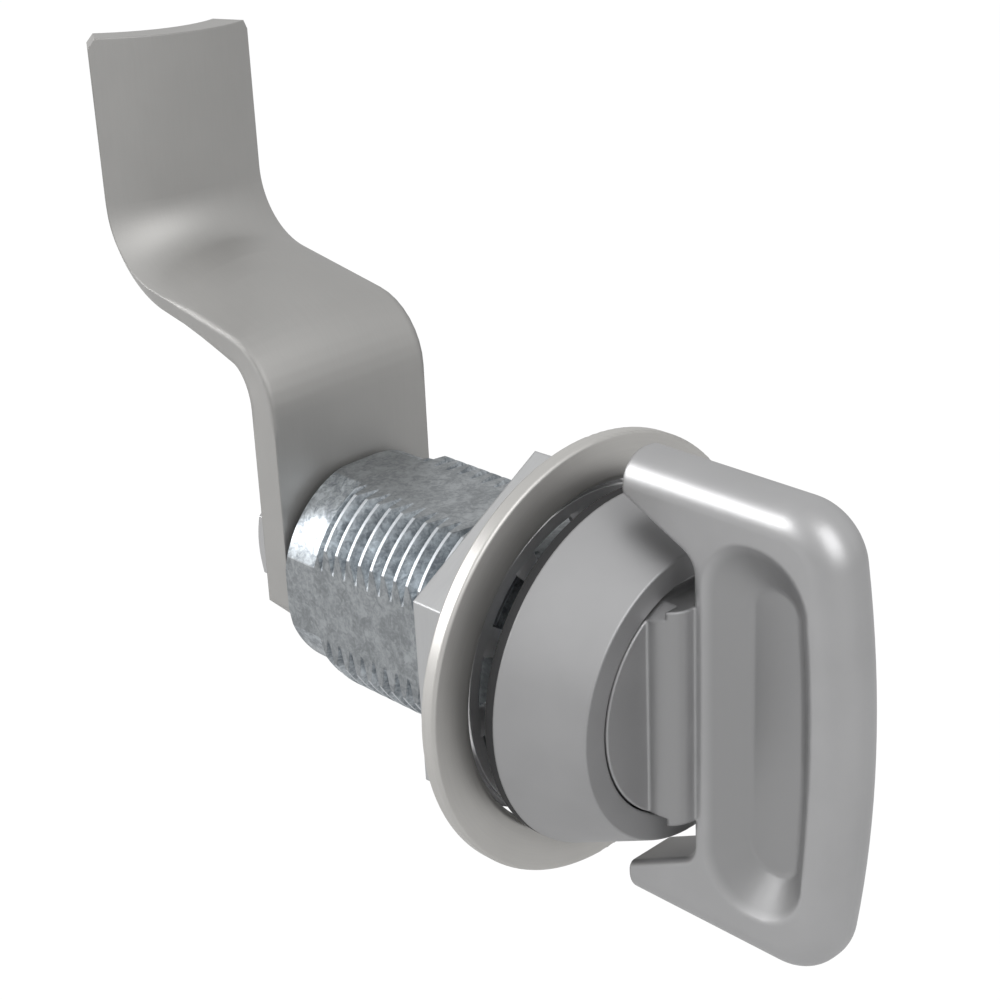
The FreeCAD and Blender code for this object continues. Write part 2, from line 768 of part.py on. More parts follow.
def make_handle():
    """One-piece grip: scooped plate with two ears, web, hub disc with a groove, stem."""
    body = new_body("handle")
    half = S.grip_thick / 2
    front_corner = (S.grip_front_radius - S.grip_reach
                    - root(S.grip_front_radius * S.grip_front_radius
                           - S.grip_half_height * S.grip_half_height))
    tall = S.grip_half_height
    notch = -S.notch_reach
    ear = -S.ear_setback
    outline = new_sketch(body, "grip_outline", "YZ_Plane")
    draw_outline(outline, [
        (notch, -S.notch_half),
        (notch, S.notch_half),
        (ear, S.ear_inner_half),
        (ear, tall),
        (front_corner, tall, S.grip_front_radius, -1),
        (front_corner, -tall),
        (ear, -tall),
        (ear, -S.ear_inner_half),
    ])
    plate = pad_midplane(body, "grip_plate", outline, S.grip_thick)
    corners = edges_where(plate, lambda spot: near(abs(spot.z), tall)
                          and near(spot.y, front_corner))
    shape = fillet(body, "grip_corners", plate, corners, S.grip_corner_radius)
    inner = edges_where(shape, lambda spot: near(abs(spot.z), S.notch_half)
                        and near(spot.y, notch))
    shape = fillet(body, "notch_corners", shape, inner, S.notch_round)
    rim = edges_where(shape, lambda spot: near(abs(spot.x), half)
                      and (near(abs(spot.z), tall) or spot.y < notch.number - 6))
    shape = fillet(body, "grip_rim", shape, rim, S.grip_edge_round)
    rear = edges_where(shape, lambda spot: near(abs(spot.x), half)
                       and spot.y > notch.number - 0.1
                       and abs(spot.z) < S.ear_inner_half.number + 0.1)
    shape = fillet(body, "notch_edges", shape, rear, S.notch_edge_round)
    for number, side in enumerate((1, -1), start=1):
        shape = cut_scoop(body, number, side)
    add_hub(body)
    return keep(body, "handle")


def add_hub(body):
    """Hub disc with its groove, the web that joins it to the plate, and the stem."""
    groove_rear = DRUM_FRONT - S.ring_groove_wall
    groove_front = groove_rear - S.ring_groove_width
    groove_bottom = S.hub_radius - S.ring_groove_depth
    face = -S.head_length
    profile = new_sketch(body, "hub_profile", "XY_Plane")
    draw_outline(profile, [
        (ZERO, face),
        (S.hub_radius, face),
        (S.hub_radius, groove_front),
        (groove_bottom, groove_front),
        (groove_bottom, groove_rear),
        (S.hub_radius, groove_rear),
        (S.hub_radius, DRUM_FRONT),
        (STEM_RADIUS, DRUM_FRONT),
        (STEM_RADIUS, S.stem_end),
        (ZERO, S.stem_end),
    ])
    revolve(body, "hub_turning", profile)
    steps = new_sketch(body, "hub_steps", "XZ_Plane", S.head_length)
    beyond = S.hub_radius + 1
    for low, high in ((WEB_HALF, beyond), (-beyond, -WEB_HALF)):
        draw_outline(steps, [(-beyond, low), (beyond, low), (beyond, high), (-beyond, high)])
    step_cut = body.newObject("PartDesign::Pocket", "hub_step_cut")
    step_cut.Profile = steps
    bind(step_cut, "Length", S.hub_recess)
    half = S.grip_thick / 2
    foot = half + S.web_fillet
    inside = face + S.hub_recess * 0.5
    crest = face - S.web_fillet
    web = new_sketch(body, "web_section", "XY_Plane")
    draw_outline(web, [
        (-foot, inside),
        (foot, inside),
        (foot, face, S.web_fillet, 1),
        (half, crest),
        (half, -S.notch_reach - S.notch_edge_round),
        (-half, -S.notch_reach - S.notch_edge_round),
        (-half, crest, S.web_fillet, 1),
        (-foot, face),
    ])
    pad_midplane(body, "web", web, WEB_HALF * 2)
    trim = new_sketch(body, "web_trim", "XY_Plane")
    draw_outline(trim, [
        (S.hub_radius, face - 1.5),
        (S.hub_radius + 2, face - 1.5),
        (S.hub_radius + 2, inside),
        (S.hub_radius, inside),
    ])
    revolve(body, "web_trimming", trim, "PartDesign::Groove")
    DOC.recompute()


def scoop_outline(sketch, rear_inset, front_inset, end_inset):
    """Rounded outline of the finger scoop, drawn in by some distances."""
    rear = -S.scoop_rim_rear - rear_inset
    front = -S.scoop_rim_front + front_inset
    corner = S.scoop_corner - (rear_inset + front_inset) / 2
    full = S.scoop_rim_half + S.scoop_corner - end_inset
    start = full - corner
    bow = start * start / (S.scoop_bulge * 2)
    draw_outline(sketch, [
        (rear, -start),
        (rear, start, corner, -1),
        (rear - corner, full),
        (front + corner, full, corner, -1),
        (front, start, bow, -1),
        (front, -start, corner, -1),
        (front + corner, -full),
        (rear - corner, -full, corner, -1),
    ])


def cut_scoop(body, number, side):
    """Hollow one face of the grip, with sloping walls and rounded edges."""
    place = S.grip_thick / 2 * side
    depth = (S.grip_thick / 2 - S.scoop_depth) * side
    rim = new_sketch(body, "scoop_rim_%d" % number, "YZ_Plane", place)
    scoop_outline(rim, ZERO, ZERO, ZERO)
    floor = new_sketch(body, "scoop_floor_%d" % number, "YZ_Plane", depth)
    scoop_outline(floor, S.scoop_rear_inset, S.scoop_front_inset, S.scoop_end_inset)
    scoop = body.newObject("PartDesign::SubtractiveLoft", "scoop_%d" % number)
    scoop.Profile = rim
    scoop.Sections = [(floor, [""])]
    scoop.Ruled = True
    low = edges_where(scoop, lambda spot: near(spot.x, depth))
    rounded = fillet(body, "scoop_floor_round_%d" % number, scoop, low, S.scoop_floor_round)
    full = (S.scoop_rim_half + S.scoop_corner).number
    high = edges_where(rounded, lambda spot: near(spot.x, place)
                       and abs(spot.z) < full + 0.1
                       and spot.y > -S.scoop_rim_front.number - 1
                       and spot.y < -S.scoop_rim_rear.number + 0.1)
    return fillet(body, "scoop_rim_round_%d" % number, rounded, high, S.scoop_rim_round)


def make_hub_o_ring():
    """Round rubber cord in the hub's groove."""
    body = new_body("hub_o_ring")
    sketch = new_sketch(body, "cord_section", "XY_Plane")
    cord = S.ring_groove_width * 0.46
    draw_circle(sketch, S.hub_radius - S.ring_groove_depth + cord + 0.02, ZERO, cord)
    revolve(body, "cord_turning", sketch)
    seat_at(body, DRUM_FRONT - S.ring_groove_wall - S.ring_groove_width / 2)
    return keep(body, "hub_o_ring")


def make_spring_seat():
    """Disc on the end of the grip's stem with a short pilot for the spring."""
    body = turned_body("spring_seat", [
        (ZERO, ZERO),
        (STEM_RADIUS - 0.5, ZERO),
        (STEM_RADIUS - 0.5, S.spring_seat_thick),
        (PILOT_RADIUS, S.spring_seat_thick),
        (PILOT_RADIUS, S.spring_seat_thick + 1),
        (ZERO, S.spring_seat_thick + 1),
    ])
    seat_at(body, S.stem_end)
    return keep(body, "spring_seat")


def make_return_spring():
    """Compression spring between the grip's stem and the pawl shaft."""
    body = new_body("return_spring")
    sketch = new_sketch(body, "wire_section", "XY_Plane")
    draw_circle(sketch, SPRING_MEAN, S.spring_wire_radius, S.spring_wire_radius)
    coil = body.newObject("PartDesign::AdditiveHelix", "coil")
    coil.Profile = sketch
    coil.ReferenceAxis = (sketch, ["V_Axis"])
    coil.Mode = "height-turns-angle"
    bind(coil, "Height", SPRING_END - STEM_SEAT_END - S.spring_wire_radius * 2)
    bind(coil, "Turns", S.spring_turns)
    coil.Angle = 0
    seat_at(body, STEM_SEAT_END)
    return keep(body, "return_spring")


def make_shaft():
    """Sliding shaft with a spring bore in its nose and a square tang for the pawl."""
    shoulder = REAR_BUSH_FRONT - S.run_gap
    body = turned_body("shaft", [
        (SPRING_BORE, SHAFT_NOSE),
        (STEM_RADIUS, SHAFT_NOSE),
        (STEM_RADIUS, shoulder),
        (SHAFT_RADIUS, shoulder),
        (SHAFT_RADIUS, PAWL_SEAT),
        (ZERO, PAWL_SEAT),
        (ZERO, SPRING_END),
        (SPRING_BORE, SPRING_END),
    ])
    tang_end = PAWL_REAR - S.tang_short
    tang = new_sketch(body, "tang_outline", "XZ_Plane", -PAWL_SEAT)
    half = S.tang_half
    draw_outline(tang, [(-half, -half), (half, -half), (half, half), (-half, half)])
    pad = body.newObject("PartDesign::Pad", "tang")
    pad.Profile = tang
    pad.Reversed = True
    bind(pad, "Length", S.pawl_thick - S.tang_short)
    DOC.recompute()
    cut_circle(body, "drive_pin_hole", "YZ_Plane", DRIVE_PIN_PLACE, ZERO, S.drive_pin_radius)
    DOC.recompute()
    hole = new_sketch(body, "screw_hole_place", "XZ_Plane", -tang_end)
    draw_circle(hole, ZERO, ZERO, S.screw_radius + S.fit_gap)
    tapped = body.newObject("PartDesign::Pocket", "screw_hole")
    tapped.Profile = hole
    tapped.Reversed = True
    bind(tapped, "Length", S.screw_length - 1)
    return keep(body, "shaft")


def pawl_section(body, name, along, up, lean, crown_radius):
    """One cross-section of the pawl: two arcs about one centre, joined by the side faces."""
    sketch = new_sketch(body, name, "XY_Plane")
    tilt = FreeCAD.Rotation(FreeCAD.Vector(1, 0, 0), lean.number - 90)
    place = FreeCAD.Vector(0, along.number, up.number)
    sketch.AttachmentOffset = FreeCAD.Placement(place, tilt)
    bind(sketch, ".AttachmentOffset.Base.y", along)
    bind(sketch, ".AttachmentOffset.Base.z", up)
    wide = S.pawl_half_width
    centre = root(crown_radius * crown_radius - wide * wide)
    inner = crown_radius - S.pawl_thick
    back_wide = wide * inner / crown_radius
    back = centre - centre * inner / crown_radius
    draw_outline(sketch, [
        (-wide, ZERO, crown_radius, -1),
        (wide, ZERO),
        (back_wide, back, inner, 1),
        (-back_wide, back),
    ])
    return sketch


def cut_tip(body, along):
    """Trim the pawl's top to its slight fall and cut both of its upper corners."""
    wide = S.pawl_half_width
    high = S.pawl_top
    low = high - S.pawl_top_fall
    above = high + 3
    trim = new_sketch(body, "tip_line", "XZ_Plane")
    draw_outline(trim, [(-wide, high), (wide, low), (wide * 2, low), (wide * 2, above),
                        (-wide, above)])
    pocket_through(body, "tip_trim", trim)
    # The cuts start in front of the crowned face and run square to it at its edges.
    crown = S.pawl_crown_radius
    ahead = as_size(2)
    shift = ahead * wide / root(crown * crown - wide * wide)
    turned = math.asin(wide.number / crown.number)
    for number, (side, top) in enumerate(((-1, high), (1, low)), start=1):
        corner = new_sketch(body, "tip_corner_%d" % number, "XZ_Plane", ahead - along)
        inside = (wide + shift - S.pawl_tip_cut) * side
        outside = (wide + shift) * side
        beyond = (wide + shift + 3) * side
        points = [(inside, above), (inside, top), (outside, top - S.pawl_tip_cut),
                  (beyond, top - S.pawl_tip_cut), (beyond, above)]
        draw_outline(corner, points if side > 0 else points[::-1])
        cut = body.newObject("PartDesign::Pocket", "tip_corner_cut_%d" % number)
        cut.Profile = corner
        bind(cut, "Length", ahead * 4)
        cut.UseCustomVector = True
        cut.Direction = FreeCAD.Vector(-side * math.sin(turned), math.cos(turned), 0)
        DOC.recompute()


def make_pawl():
    """Pressed locking arm: flat foot, bent back and up again, its upper part crowned."""
    body = new_body("pawl")
    front = PAWL_SEAT
    bend = S.pawl_outer_bend
    slope = S.pawl_slope
    side = new_sketch(body, "foot_side", "YZ_Plane")
    draw_outline(side, [
        (front, -S.pawl_low_end),
        (PAWL_REAR, -S.pawl_low_end),
        (PAWL_REAR, S.pawl_bend_start),
        (front, S.pawl_bend_start),
    ])
    foot = pad_midplane(body, "foot", side, S.pawl_half_width * 2)
    low = edges_where(foot, lambda spot: near(abs(spot.x), S.pawl_half_width)
                      and near(spot.z, -S.pawl_low_end))
    chamfer(body, "foot_corners", foot, low, S.pawl_low_chamfer)
    DOC.recompute()
    # The crown grows from flat to full along the first bend and the sloping part.
    turn = as_size(90) - slope
    bent_length = bend * turn * math.radians(1)
    whole = bent_length + S.pawl_slant_run
    places = []
    bend_steps = 8
    for index in range(bend_steps + 1):
        lean = as_size(90) - turn * (index / bend_steps)
        places.append((front + bend - bend * sine(lean), S.pawl_bend_start + bend * cosine(lean),
                       lean, bent_length * (index / bend_steps)))
    slope_steps = 4
    along, up, lean, travelled = places[-1]
    for index in range(slope_steps + 1):
        run = S.pawl_slant_run * (index / slope_steps)
        places.append((along + cosine(slope) * run, up + sine(slope) * run, slope, travelled + run))
    full_sag = S.pawl_crown_radius - root(
        S.pawl_crown_radius * S.pawl_crown_radius - S.pawl_half_width * S.pawl_half_width)
    sections = []
    for number, (along, up, lean, travelled) in enumerate(places, start=1):
        share = travelled / whole
        sag = full_sag * (share * share * (as_size(3) - share * 2) + 0.002)
        radius = (S.pawl_half_width * S.pawl_half_width + sag * sag) / (sag * 2)
        if number == len(places):
            radius = S.pawl_crown_radius
        sections.append(pawl_section(body, "pawl_section_%02d" % number, along, up, lean, radius))
    for name, group in (("first_bend", sections[:bend_steps + 1]), ("slope", sections[bend_steps + 1:])):
        arm = body.newObject("PartDesign::AdditiveLoft", name)
        arm.Profile = group[0]
        arm.Sections = [(sketch, [""]) for sketch in group[1:]]
        arm.Ruled = True
        DOC.recompute()
    # The second bend turns the crowned section until it stands upright.
    second = S.pawl_second_bend
    start = pawl_section(body, "bend_section", along, up, slope, S.pawl_crown_radius)
    half = S.pawl_half_width.number
    axis = Part.LineSegment(FreeCAD.Vector(-half, -second.number, 0),
                            FreeCAD.Vector(half, -second.number, 0))
    line = start.addGeometry(axis, True)
    start.addConstraint(Sketcher.Constraint("Horizontal", line))
    for kind, size in (("DistanceX", -S.pawl_half_width), ("DistanceY", -second)):
        number = start.addConstraint(Sketcher.Constraint(kind, -1, 1, line, 1, size.number))
        bind(start, "Constraints[%d]" % number, size)
    bent = body.newObject("PartDesign::Revolution", "second_bend")
    bent.Profile = start
    bent.ReferenceAxis = (start, ["Axis0"])
    bind(bent, "Angle", as_size(90) - slope)
    DOC.recompute()
    along = along + (as_size(1) - sine(slope)) * second
    up = up + cosine(slope) * second
    upright = pawl_section(body, "tip_section", along, up, as_size(90), S.pawl_crown_radius)
    tip = body.newObject("PartDesign::Pad", "tip")
    tip.Profile = upright
    bind(tip, "Length", S.pawl_top + 0.5 - up)
    DOC.recompute()
    cut_tip(body, along)
    hole = new_sketch(body, "square_hole_outline", "XZ_Plane", -(front - 1))
    half = S.tang_half + S.run_gap
    draw_outline(hole, [(-half, -half), (half, -half), (half, half), (-half, half)])
    square = body.newObject("PartDesign::Pocket", "square_hole")
    square.Profile = hole
    bind(square, "Length", S.pawl_thick + 2)
    return keep(body, "pawl")


def make_pawl_washers():
    """Flat washer and split spring washer under the screw head."""
    flat = tube_body("flat_washer", S.screw_radius + S.run_gap, S.flat_washer_radius,
                     S.flat_washer_thick)
    seat_at(flat, PAWL_REAR)
    keep(flat, "flat_washer")
    split = open_ring("split_washer", S.screw_radius + S.run_gap, S.split_washer_radius,
                      S.split_washer_thick, as_size(8))
    seat_at(split, PAWL_REAR + S.flat_washer_thick)
    keep(split, "split_washer")


def make_pawl_screw():
    """Hexagon head screw along the axis."""
    body = new_body("pawl_screw")
    outline = new_sketch(body, "screw_head_outline", "XZ_Plane")
    draw_hexagon(outline, S.screw_flats)
    head = body.newObject("PartDesign::Pad", "screw_head")
    head.Profile = outline
    head.Reversed = True
    bind(head, "Length", S.screw_head_thick)
    cone = new_sketch(body, "head_chamfer", "XY_Plane")
    reach = S.screw_flats / 2
    draw_outline(cone, [
        (reach * 0.94, S.screw_head_thick),
        (reach * 1.3, S.screw_head_thick - reach * 0.21),
        (reach * 1.3, S.screw_head_thick + 0.5),
        (reach * 0.94, S.screw_head_thick + 0.5),
    ])
    revolve(body, "head_chamfering", cone, "PartDesign::Groove")
    section = new_sketch(body, "shank_section", "XZ_Plane")
    draw_circle(section, ZERO, ZERO, S.screw_radius)
    shank = body.newObject("PartDesign::Pad", "shank")
    shank.Profile = section
    bind(shank, "Length", S.screw_length)
    seat_at(body, SCREW_SEAT)
    return keep(body, "pawl_screw")


def make_pins():
    """Cross pin of the grip and drive pin of the shaft."""
    grip_pin = pad_pin("handle_pin", "XY_Plane", ZERO, S.grip_pin_place,
                       S.grip_pin_radius - S.fit_gap * 0.4, DRUM_RADIUS - S.run_gap)
    keep(grip_pin, "handle_pin")
    drive_pin = pad_pin("drive_pin", "YZ_Plane", DRIVE_PIN_PLACE, ZERO,
                        S.drive_pin_radius - S.fit_gap * 0.4, DRIVE_PIN_HALF)
    keep(drive_pin, "drive_pin")


def drill_handle_stem(handle):
    """Cross hole for the grip's pin."""
    cut_circle(handle, "stem_pin_hole", "XY_Plane", ZERO, S.grip_pin_place, S.grip_pin_radius)


def write_nodes():
    """Check every object and write each sub-part to its own file."""
    DOC.recompute()
    for item in DOC.Objects:
        bad = [state for state in item.State if state in ("Invalid", "Error")]
        if bad:
            raise RuntimeError("%s did not compute: %s" % (item.Name, bad))
    os.makedirs("parts", exist_ok=True)
    for node in NODES:
        shape = node.Shape
        if shape.isNull() or not shape.isValid() or not shape.Solids:
            raise RuntimeError("%s has no valid solid" % node.Label)
        shape.exportStep("parts/%s.step" % node.Label)
        print(node.Label, len(shape.Solids), round(shape.Volume, 2), shape.BoundBox)


def main():
    """Build all sub-parts and write them."""
    make_head_bezel()
    make_threaded_body()
    make_gasket()
    make_flange_ring()
    make_toothed_washer()
    make_mounting_nut()
    make_front_bush()
    make_rear_bush()
    make_rear_retaining_ring()
    make_swing_sleeve()
    handle = make_handle()
    drill_handle_stem(handle)
    make_cam_sleeve()
    make_pins()
    make_hub_o_ring()
    make_sleeve_retaining_ring()
    make_spring_seat()
    make_return_spring()
    make_shaft()
    make_pawl()
    make_pawl_washers()
    make_pawl_screw()
    write_nodes()


main()
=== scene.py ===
"""Compression latch: finishes, floor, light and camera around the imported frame."""

from math import radians

import bpy
from mathutils import Matrix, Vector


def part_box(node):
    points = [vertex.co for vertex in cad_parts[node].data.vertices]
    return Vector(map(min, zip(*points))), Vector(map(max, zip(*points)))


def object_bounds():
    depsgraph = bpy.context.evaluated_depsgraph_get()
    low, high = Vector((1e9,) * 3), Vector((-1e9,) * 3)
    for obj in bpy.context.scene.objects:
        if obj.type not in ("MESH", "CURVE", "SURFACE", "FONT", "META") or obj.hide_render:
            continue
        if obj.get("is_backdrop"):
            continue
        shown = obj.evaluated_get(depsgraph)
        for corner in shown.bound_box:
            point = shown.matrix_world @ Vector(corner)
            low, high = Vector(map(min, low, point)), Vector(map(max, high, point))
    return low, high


bl_info = {
    "name": "Compression latch finishes",
    "version": (1, 0, 0),
    "blender": (4, 5, 0),
    "location": "3D View > Sidebar > Latch",
    "description": "Cast, plated, zinc and rubber finishes of a compression latch, with its stage",
    "category": "Object",
}

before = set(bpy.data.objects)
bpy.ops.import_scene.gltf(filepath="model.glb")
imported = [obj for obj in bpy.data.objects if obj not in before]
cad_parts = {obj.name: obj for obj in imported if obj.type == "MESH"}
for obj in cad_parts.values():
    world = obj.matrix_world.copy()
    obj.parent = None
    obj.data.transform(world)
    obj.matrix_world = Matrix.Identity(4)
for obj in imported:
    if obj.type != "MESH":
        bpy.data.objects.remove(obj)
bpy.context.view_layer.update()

MILLIMETRE = 0.001


def corners(node):
    """Lowest and highest corner of a node's box, in millimetres."""
    return [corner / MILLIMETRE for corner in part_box(node)]


def soft_edge(place, width=0.3):
    """The two places between which one finish, painted shade or painted highlight goes over into
    the next, in millimetres.
    """
    return place, place + width


# Edges between finishes, of the painted shade in the grip's scoops and on its web, and of the
# painted highlight on the thread's crests: across is measured from the latch's middle plane, along
# from the head's rear face, and up or outward from the latch axis.
GRIP_LOW, GRIP_HIGH = corners("handle")
HEAD_FRONT = corners("head_bezel")[0].y
SCOOP_SHADE_MOUTH = soft_edge(2.3, 0.45)
SCOOP_SHADE_FRONT = soft_edge(GRIP_LOW.y + 3.7)
SCOOP_SHADE_REAR = soft_edge(GRIP_LOW.y + 13.6)
SCOOP_SHADE_END = soft_edge(GRIP_HIGH.z - 4.1)
WEB_SHADE_FRONT = soft_edge(HEAD_FRONT - 2.55)
WEB_SHADE_REAR = soft_edge(HEAD_FRONT - 0.35)
WEB_SHADE_END = soft_edge(GRIP_HIGH.x - 0.5)
HOUSING_FLAT = soft_edge(9.44, 0.04)
THREAD_CREST_HIGHLIGHT = soft_edge(10.95, 0.045)
PAWL_BEND_LOW = soft_edge(13.5, 2.0)
PAWL_BEND_HIGH = soft_edge(23.2, 1.0)
PAWL_STRETCH_LOW = soft_edge(22.0, 4.0)
PAWL_STRETCH_HIGH = soft_edge(28.0, 5.0)

# How far brushed lines are drawn out: a smaller factor makes them longer in that direction.
RING_LINES_AROUND = 0.35
PAWL_LINES = (1.0, 0.04, 0.04)
NUT_LINES = (0.08, 1.0, 0.08)

# The part of a noise's range in which a tone changes: narrower is stronger.
SOFT_CONTRAST = (0.3, 0.7)
MOTTLE_CONTRAST = (0.36, 0.66)

RUBBER_DUST = (0.035, 0.035, 0.036)

# The room as light and reflections see it: grey from straight below to straight above.
ROOM_LEVELS = ((0.0, 0.40), (0.42, 0.52), (0.55, 0.66), (0.75, 0.76), (1.0, 0.82))
WHITE = (1.0, 1.0, 1.0)
FLOOR_GREY = (0.60, 0.60, 0.60)


class LatchColours(bpy.types.PropertyGroup):
    """Colours of the latch's finishes."""

    grip: bpy.props.FloatVectorProperty(
        name="Grip", description="Plated die casting of the grip", subtype="COLOR",
        size=3, min=0, max=1, default=(0.475, 0.475, 0.48))
    head: bpy.props.FloatVectorProperty(
        name="Head", description="Satin die casting of the round head", subtype="COLOR",
        size=3, min=0, max=1, default=(0.415, 0.415, 0.42))
    zinc_light: bpy.props.FloatVectorProperty(
        name="Zinc, light", description="Light patches of the zinc coat on the flats",
        subtype="COLOR", size=3, min=0, max=1, default=(0.39, 0.41, 0.425))
    zinc_dark: bpy.props.FloatVectorProperty(
        name="Zinc, dark", description="Dark patches of the zinc coat on the flats",
        subtype="COLOR", size=3, min=0, max=1, default=(0.22, 0.235, 0.245))
    flank_light: bpy.props.FloatVectorProperty(
        name="Thread, light", description="Light patches of the thread's flanks",
        subtype="COLOR", size=3, min=0, max=1, default=(0.57, 0.61, 0.64))
    flank_dark: bpy.props.FloatVectorProperty(
        name="Thread, dark", description="Dark patches of the thread's flanks",
        subtype="COLOR", size=3, min=0, max=1, default=(0.20, 0.22, 0.24))
    # Painted highlight: a light tone laid along the thread's crests, standing in for light on
    # them.
    crest_highlight: bpy.props.FloatVectorProperty(
        name="Thread crest", description="Bare crests of the thread",
        subtype="COLOR", size=3, min=0, max=1, default=(0.60, 0.63, 0.66))
    ring: bpy.props.FloatVectorProperty(
        name="Ring", description="Nickel plate of the flange ring", subtype="COLOR",
        size=3, min=0, max=1, default=(0.59, 0.58, 0.56))
    nut: bpy.props.FloatVectorProperty(
        name="Nut", description="Light plate of the mounting nut", subtype="COLOR",
        size=3, min=0, max=1, default=(0.53, 0.535, 0.54))
    arm: bpy.props.FloatVectorProperty(
        name="Pawl", description="Satin plate of the pawl", subtype="COLOR",
        size=3, min=0, max=1, default=(0.41, 0.405, 0.395))
    steel: bpy.props.FloatVectorProperty(
        name="Steel", description="Plated steel of screw, washers and pins", subtype="COLOR",
        size=3, min=0, max=1, default=(0.50, 0.50, 0.505))
    bronze: bpy.props.FloatVectorProperty(
        name="Bronze", description="Plain bearings", subtype="COLOR",
        size=3, min=0, max=1, default=(0.48, 0.34, 0.17))
    rubber: bpy.props.FloatVectorProperty(
        name="Rubber", description="Gasket and hub ring", subtype="COLOR",
        size=3, min=0, max=1, default=(0.018, 0.018, 0.02))


class LatchGrain(bpy.types.PropertyGroup):
    """Sizes of the patterns in the finishes."""

    mottle: bpy.props.FloatProperty(
        name="Zinc mottle", description="Width of one patch of the zinc coat", unit="LENGTH",
        min=0.0001, default=0.0008)
    cast: bpy.props.FloatProperty(
        name="Casting skin", description="Width of the casting's fine unevenness",
        unit="LENGTH", min=0.0001, default=0.0009)
    cast_cloud: bpy.props.FloatProperty(
        name="Casting cloud", description="Width of the casting's soft changes of tone",
        unit="LENGTH", min=0.0001, default=0.007)
    brush: bpy.props.FloatProperty(
        name="Brushing", description="Spacing of brushed lines", unit="LENGTH",
        min=0.00001, default=0.00016)
    plate_cloud: bpy.props.FloatProperty(
        name="Plate cloud", description="Width of the plate's soft changes of tone",
        unit="LENGTH", min=0.0001, default=0.005)
    plate_speck: bpy.props.FloatProperty(
        name="Plate speck", description="Width of the plate's fine specks",
        unit="LENGTH", min=0.00001, default=0.00012)
    dust: bpy.props.FloatProperty(
        name="Dust", description="Width of the specks of dust on the rubber",
        unit="LENGTH", min=0.00001, default=0.00025)
    dust_patch: bpy.props.FloatProperty(
        name="Dust patch", description="Width of the dusty patches on the rubber",
        unit="LENGTH", min=0.0001, default=0.004)
    stretch: bpy.props.FloatProperty(
        name="Stretched grain", description="Width of the grain where the pawl was stretched",
        unit="LENGTH", min=0.00001, default=0.00022)
    bend: bpy.props.FloatProperty(
        name="Bend smoothing", description="Width over which the pawl's bend is smoothed",
        unit="LENGTH", min=0, default=0.0009)
    edge: bpy.props.FloatProperty(
        name="Worn edge", description="Width over which sharp edges are eased",
        unit="LENGTH", min=0, default=0.00018)


class LatchStage(bpy.types.PropertyGroup):
    """Floor, lamps and camera."""

    floor_drop: bpy.props.FloatProperty(
        name="Floor drop", description="Height of the latch over the floor", unit="LENGTH",
        min=0, default=0.045)
    floor_reach: bpy.props.FloatProperty(
        name="Floor reach", description="Half the width of the floor", unit="LENGTH",
        min=0.1, default=2.5)
    floor_white: bpy.props.FloatProperty(
        name="Floor white", description="Brightness of the floor as the camera sees it",
        min=0, default=1.06)
    floor_share: bpy.props.FloatProperty(
        name="Floor share", description="Share of that white, the rest shows the shadow",
        subtype="FACTOR", min=0, max=1, default=0.92)
    lamp_aim: bpy.props.FloatVectorProperty(
        name="Lamp aim", description="Point that both lamps are turned to",
        subtype="TRANSLATION", size=3, default=(0.0, 0.015, 0.008))
    key: bpy.props.FloatProperty(
        name="Key lamp", description="Strength of the large lamp over the grip",
        unit="POWER", min=0, default=1.35)
    key_place: bpy.props.FloatVectorProperty(
        name="Key lamp place", description="Middle of the large lamp over the grip",
        subtype="TRANSLATION", size=3, default=(-0.10, -0.42, 0.42))
    key_size: bpy.props.FloatVectorProperty(
        name="Key lamp size", description="Width and height of the lamp over the grip",
        unit="LENGTH", size=2, min=0, default=(0.50, 0.50))
    back: bpy.props.FloatProperty(
        name="Back lamp", description="Strength of the lamp behind the threaded housing",
        unit="POWER", min=0, default=1.3)
    back_place: bpy.props.FloatVectorProperty(
        name="Back lamp place", description="Middle of the lamp behind the threaded housing",
        subtype="TRANSLATION", size=3, default=(-0.34, 0.36, 0.22))
    back_size: bpy.props.FloatVectorProperty(
        name="Back lamp size", description="Width and height of the lamp behind the housing",
        unit="LENGTH", size=2, min=0, default=(0.30, 0.26))
    lens: bpy.props.FloatProperty(
        name="Lens", description="Focal length of the camera", unit="CAMERA", min=10,
        default=76.426)
    camera_place: bpy.props.FloatVectorProperty(
        name="Camera place", description="Place of the photograph's camera",
        subtype="TRANSLATION", size=3, default=(-0.112821, -0.104530, 0.083073))
    camera_turn: bpy.props.FloatVectorProperty(
        name="Camera turn", description="Tilt, roll and turn of the photograph's camera",
        subtype="EULER", size=3,
        default=(radians(66.14174), radians(2.30735), radians(-44.53533)))


def overloaded(operation):
    """A Math node's operation as a Python operator and as its reflected form."""

    def forward(self, other):
        return self.worked(operation, self, other)

    def reflected(self, other):
        return self.worked(operation, other, self)

    return forward, reflected


class Value:
    """A number that varies over a surface. Arithmetic on it adds Math nodes."""

    __add__, __radd__ = overloaded("ADD")
    __sub__, __rsub__ = overloaded("SUBTRACT")
    __mul__, __rmul__ = overloaded("MULTIPLY")
    __pow__, __rpow__ = overloaded("POWER")

    def __init__(self, graph, socket):
        self.graph = graph
        self.socket = socket

    def worked(self, operation, *terms):
        """The result of one Math node."""
        node = self.graph.add("ShaderNodeMath", {"operation": operation},
                              dict(enumerate(terms)))
        return Value(self.graph, node.outputs[0])

    def __abs__(self):
        return self.worked("ABSOLUTE", self)

    def at_least(self, other):
        return self.worked("MAXIMUM", self, other)

    def rising(self, low, high, start=0.0, end=1.0):
        """Smooth step from start at low to end at high."""
        node = self.graph.add("ShaderNodeMapRange",
                              {"interpolation_type": "SMOOTHSTEP", "clamp": True},
                              {"Value": self, "From Min": low, "From Max": high,
                               "To Min": start, "To Max": end})
        return Value(self.graph, node.outputs[0])

    def falling(self, low, high):
        """Smooth step from 1 at low to 0 at high."""
        return self.rising(low, high, 1.0, 0.0)


